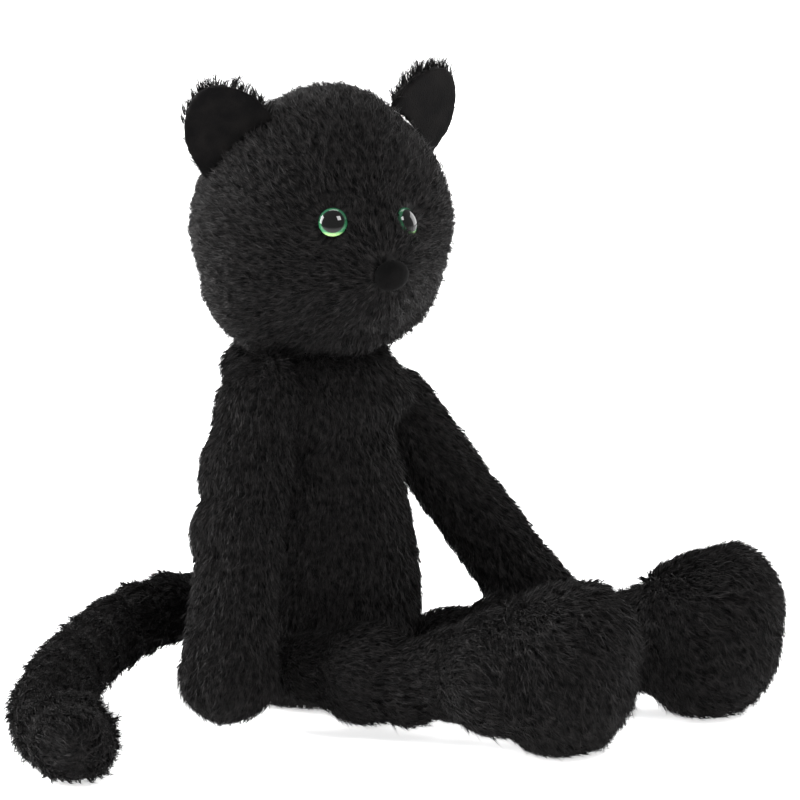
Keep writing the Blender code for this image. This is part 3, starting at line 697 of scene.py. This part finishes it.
def spread_ear(skin, outwards, spread):
    """Moves an ear outwards above its foot."""
    points = points_of(skin.data)
    share = (points[:, 2] - points[:, 2].min()) / np.ptp(points[:, 2])
    points += np.array(outwards) * (spread * np.clip(share * 3, 0, 1))[:, None]
    move_points(skin.data, points)


for side, seed in (("L", 41), ("R", 43)):
    front = (box_middle("ear_lining_" + side) - box_middle("ear_back_" + side)).normalized()
    inwards = head_middle - box_middle("ear_back_" + side)
    inwards.z = 0
    inwards = (inwards - front * inwards.dot(front)).normalized()
    ear = melted_skin("ear_plush_" + side, ["ear_back_" + side], [], 0.0011, 4)
    spread_ear(ear, -inwards, EAR_SPREAD[side])
    normals = normals_of(ear.data)
    facing = normals @ np.array(front)
    points = points_of(ear.data)
    spread = points - np.array(box_middle("ear_back_" + side)) + np.array((0, 0, EAR_FLOW_FROM))
    flow = unit(spread) + np.array(inwards) * 0.35 + np.array((0, 0, 0.5))
    height = (points[:, 2] - points[:, 2].min()) / np.ptp(points[:, 2])
    bare_front = np.where(facing > 0.45, 0.0, 1.0)
    comb(ear, flow, lift=0.35, pile=0.70 + 0.40 * height, thick=bare_front, sink=0.0002)
    grow_pile(ear, seed)
    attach(ear, "ear_" + side)
    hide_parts("ear_back_" + side)
    lining = melted_skin("ear_velvet_" + side, ["ear_lining_" + side], [], 0.0009, 4)
    spread_ear(lining, -inwards, EAR_SPREAD[side])
    lining.data.materials.append(black_velvet)
    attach(lining, "ear_" + side)
    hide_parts("ear_lining_" + side)


# ---- Arms ----------------------------------------------------------------------------------------
# A floppy tube of plush, lightly stuffed, closed by a seam at the shoulder and weighted by a small bag
# of beans in the hand. Its pile runs down to the hand.


LIMB_LAYERS = ("cover", "stuffing")


def limb_parts(kind, bag, side):
    halves = [f"{kind}_{half}_{what}_{side}" for half in ("upper", "lower") for what in LIMB_LAYERS]
    return halves + [f"{bag}_bean_bag_{side}"]


def limb_flow(points, stops):
    """The way along the nearest run of a limb, from its root to its end."""
    flow = np.zeros_like(points)
    best = np.full(len(points), 1e9)
    for start, end in zip(stops, stops[1:]):
        run = np.array(end - start)
        share = np.clip((points - np.array(start)) @ run / (run @ run), 0, 1)
        away = np.linalg.norm(points - (np.array(start) + share[:, None] * run), axis=1)
        closer = away < best
        best = np.where(closer, away, best)
        flow[closer] = run / np.linalg.norm(run)
    return flow


LIMB_VOXEL = 0.0025
ELBOW = (0.0150,) * 3
MITTEN, MITTEN_ON = (0.0178, 0.0178, 0.0165), 0.0030
CAP_IN = -0.12
CAP = {"L": (0.0140,) * 3, "R": (0.0155,) * 3}
CAP_UP = {"L": -0.0020, "R": 0.0020}
OUT_R = Vector((-0.0018, 0.0008, 0))
UPPER_BULGE = (0.0160, 0.0160, 0.0220)
ELBOW_BULGE = (0.0162, 0.0162, 0.0180)
ARM_SINK = {"L": 0.0012, "R": 0.0}
for side, seed in (("L", 51), ("R", 53)):
    names = limb_parts("arm", "hand", side)
    shoulder = hinge_point("shoulder_swing_" + side)
    elbow = hinge_point("elbow_" + side)
    hand = box_middle("hand_bean_bag_" + side)
    cap = ball(shoulder + Vector((CAP_IN * shoulder.x, 0, CAP_UP[side])), CAP[side])
    mitten = ball(hand + (hand - elbow).normalized() * MITTEN_ON, MITTEN)
    arm_lumps = [ball(elbow, ELBOW), mitten, cap]
    if side == "R":
        arm_lumps.append(ball(shoulder.lerp(elbow, 0.55) + OUT_R, UPPER_BULGE))
        arm_lumps.append(ball(elbow + OUT_R, ELBOW_BULGE))
    arm = melted_skin("arm_plush_" + side, names, arm_lumps, LIMB_VOXEL, 10)
    points = points_of(arm.data)
    flow = limb_flow(points, [shoulder, elbow, hand])
    comb(arm, flow, sink=ARM_SINK[side])
    grow_pile(arm, seed)
    along = (hand - shoulder).normalized()
    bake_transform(arm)
    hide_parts(*names)


# ---- Legs ----------------------------------------------------------------------------------------
# The same floppy tube of plush, lightly stuffed and sewn shut at the hip, with a big round foot full of
# beans. The foot's longer pile sprays out from the ankle, and the foot leans out over its toe.

LEG_VOXEL = 0.0027
KNEE = (0.0150, 0.0150, 0.0160)
THIGH = (0.0190, 0.0190, 0.0185)
SHIN = (0.020, 0.0175, 0.0175)
HEEL = (0.0225,) * 3
HEEL_OUT = 0.010
LUMP_LIFT = Vector((0, 0, 0.001))
TOE_LEAN = 0.30
HEEL_DROP = 0.30
SPRAY_REACH = 0.060
SPRAY_PILE = 0.22
SPRAY_LIFT = 0.06
for side, seed in (("L", 61), ("R", 63)):
    names = limb_parts("leg", "foot", side)
    hip = hinge_point("hip_" + side)
    knee = hinge_point("knee_" + side)
    sole = box_middle("foot_bean_bag_" + side)
    along = sole - knee
    along.z = 0
    along.normalize()
    foot_middle = sole - along * 0.010
    shin_turn = Matrix.Rotation(math.atan2(along.y, along.x), 4, "Z")
    leg_lumps = [
        ball(knee, KNEE),
        ball(hip.lerp(knee, 0.55) + LUMP_LIFT, THIGH),
        ball(knee.lerp(foot_middle, 0.35) + LUMP_LIFT, SHIN, shin_turn),
    ]
    if side == "R":
        heel_way = Vector((along.y, -along.x, 0))
        heel_middle = knee.lerp(foot_middle, 0.70) + heel_way * HEEL_OUT + LUMP_LIFT
        leg_lumps.append(ball(heel_middle, HEEL))
    leg = melted_skin("leg_plush_" + side, names, leg_lumps, LEG_VOXEL, 10)
    points = points_of(leg.data)
    beyond = (points - np.array(foot_middle)) @ np.array(along)
    on_foot = np.clip((beyond + 0.030) / 0.030, 0, 1)
    high = np.clip(points[:, 2] - foot_middle.z, 0, None)
    points += np.array(along) * (TOE_LEAN * high * on_foot)[:, None]
    points[:, 2] -= high * on_foot * HEEL_DROP * np.clip(-(beyond - 0.006) / 0.030, 0, 1)
    move_points(leg.data, points)
    flow = limb_flow(points, [hip, knee, foot_middle])
    spray = near(points, foot_middle + along * 0.008, SPRAY_REACH)
    spray = np.clip(spray * 1.6, 0, 1)[:, None]
    ankle = foot_middle - along * 0.018 + Vector((0, 0, 0.026))
    flow = flow * (1 - spray) + unit(points - np.array(ankle)) * spray
    comb(leg, flow, lift=0.42 + SPRAY_LIFT * spray[:, 0], pile=1 + SPRAY_PILE * spray[:, 0])
    grow_pile(leg, seed)
    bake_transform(leg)
    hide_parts(*names)


# ---- Tail ----------------------------------------------------------------------------------------
# A long stuffed tube of plush sewn in at the back of the seat. Turning it out ruffled its pile into
# bands, and it lies on the floor in a curl.

TAIL_BEND = (0.0126,) * 3
TAIL_BANDS = 0.017
BAND_DEPTH = 0.18
CURL_FROM, CURL_LONG = 0.12, 0.07
CURL_IN, CURL_OUT = 0.0062, 0.0028
TAIL_NODES = ["tail_base_cover", "tail_base_stuffing", "tail_tip_cover", "tail_tip_stuffing"]
root = hinge_point("tail_root")
bend = hinge_point("tail_bend")
tip_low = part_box("tail_tip_cover")[0]
tail_end = Vector((tip_low.x + 0.016, tip_low.y + 0.012, bend.z))
tail = melted_skin("tail_plush", TAIL_NODES, [ball(bend, TAIL_BEND)], LIMB_VOXEL, 10)
points = points_of(tail.data)
reach = np.clip(distances(points, root) / (bend - root).length, 0, 1)
curl = np.clip((-(points[:, 0] + points[:, 1]) - CURL_FROM) / CURL_LONG, 0, 1)
points += np.array((0.7071, -0.7071, 0.0)) * (CURL_IN * curl - CURL_OUT * reach**2)[:, None]
move_points(tail.data, points)
base_bow = root.lerp(bend, 0.5) + Vector((0.0, 0.014, 0.003))
tip_bow = bend.lerp(tail_end, 0.5) + Vector((-0.006, 0.002, 0))
flow = limb_flow(points, [root, base_bow, bend, tip_bow, tail_end])
bands = 1 + BAND_DEPTH * np.sin(distances(points, root) * 2 * math.pi / TAIL_BANDS)
comb(tail, flow, lift=0.40 + 0.16 * (bands - 1) / BAND_DEPTH, pile=bands)
grow_pile(tail, 71)
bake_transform(tail)
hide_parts(*TAIL_NODES)

for source in tuft_sources:
    bpy.data.objects.remove(source, do_unlink=True)


# ---- Studio --------------------------------------------------------------------------------------
# A pale sweep of paper floor that glows a little, lit by four soft boxes and a white sky. The camera
# looks at the cat from its right front, a little from above.

SWEEP = 6.0
FLOOR_GLOW = 0.75
SKY = 0.75
LENS = 393.75
floor_mesh = bpy.data.meshes.new("floor")
floor_corners = [(x * SWEEP, y * SWEEP, 0) for x, y in ((-1, -1), (1, -1), (1, 1), (-1, 1))]
floor_mesh.from_pydata(floor_corners, [], [(0, 1, 2, 3)])
floor = new_object("floor", floor_mesh)
paper, tree, shader = node_material("paper")
grain = tree.nodes.new("ShaderNodeTexNoise")
grain.inputs["Scale"].default_value = 3.0
shade = tree.nodes.new("ShaderNodeValToRGB")
shade.color_ramp.elements[0].color = (0.93, 0.93, 0.93, 1)
shade.color_ramp.elements[1].color = (0.97, 0.97, 0.97, 1)
place = tree.nodes.new("ShaderNodeTexCoord")
wire(tree, place.outputs["Object"], grain.inputs["Vector"])
wire(tree, grain.outputs["Fac"], shade.inputs["Fac"])
wire(tree, shade.outputs["Color"], shader.inputs["Base Color"])
shader.inputs["Roughness"].default_value = 0.9
shader.inputs["Specular IOR Level"].default_value = 0.1
shader.inputs["Emission Color"].default_value = (1, 1, 1, 1)
shader.inputs["Emission Strength"].default_value = FLOOR_GLOW
floor_mesh.materials.append(paper)

scene = bpy.context.scene
scene.view_settings.view_transform = "Standard"
world = bpy.data.worlds.new("studio")
world.use_nodes = True
sky = world.node_tree.nodes["Background"]
sky.inputs["Color"].default_value = (1, 1, 1, 1)
sky.inputs["Strength"].default_value = SKY
scene.world = world

YAW = math.radians(45)
ELEVATION = math.radians(12)
DISTANCE = 3.5
level = math.cos(ELEVATION)
back = Vector((-math.sin(YAW) * level, -math.cos(YAW) * level, math.sin(ELEVATION)))
right = Vector((math.cos(YAW), -math.sin(YAW), 0))
up = back.cross(right)
target = right * 0.0372 + up * 0.1176
camera = new_object("camera", bpy.data.cameras.new("camera"))
camera.data.lens = LENS
camera.data.clip_end = 50
camera.location = target + back * DISTANCE
camera.rotation_euler = back.to_track_quat("Z", "Y").to_euler()
scene.camera = camera


def soft_box(name, way, distance, size, power):
    lamp = bpy.data.lights.new(name, "AREA")
    lamp.shape = "SQUARE"
    lamp.size = size
    lamp.energy = power
    made = new_object(name, lamp)
    made.location = target + way.normalized() * distance
    made.rotation_euler = way.to_track_quat("Z", "Y").to_euler()


soft_box("key", back * 0.72 + right * 0.38 + up * 0.58, 1.5, 0.50, 21)
soft_box("left", back * 0.1 - right * 1.0 + up * 0.45, 1.5, 0.9, 75)
soft_box("right", -back * 0.5 + right * 1.0 + up * 0.45, 1.5, 0.9, 17)
soft_box("top", up * 1.0 - back * 0.25, 1.4, 0.9, 20)
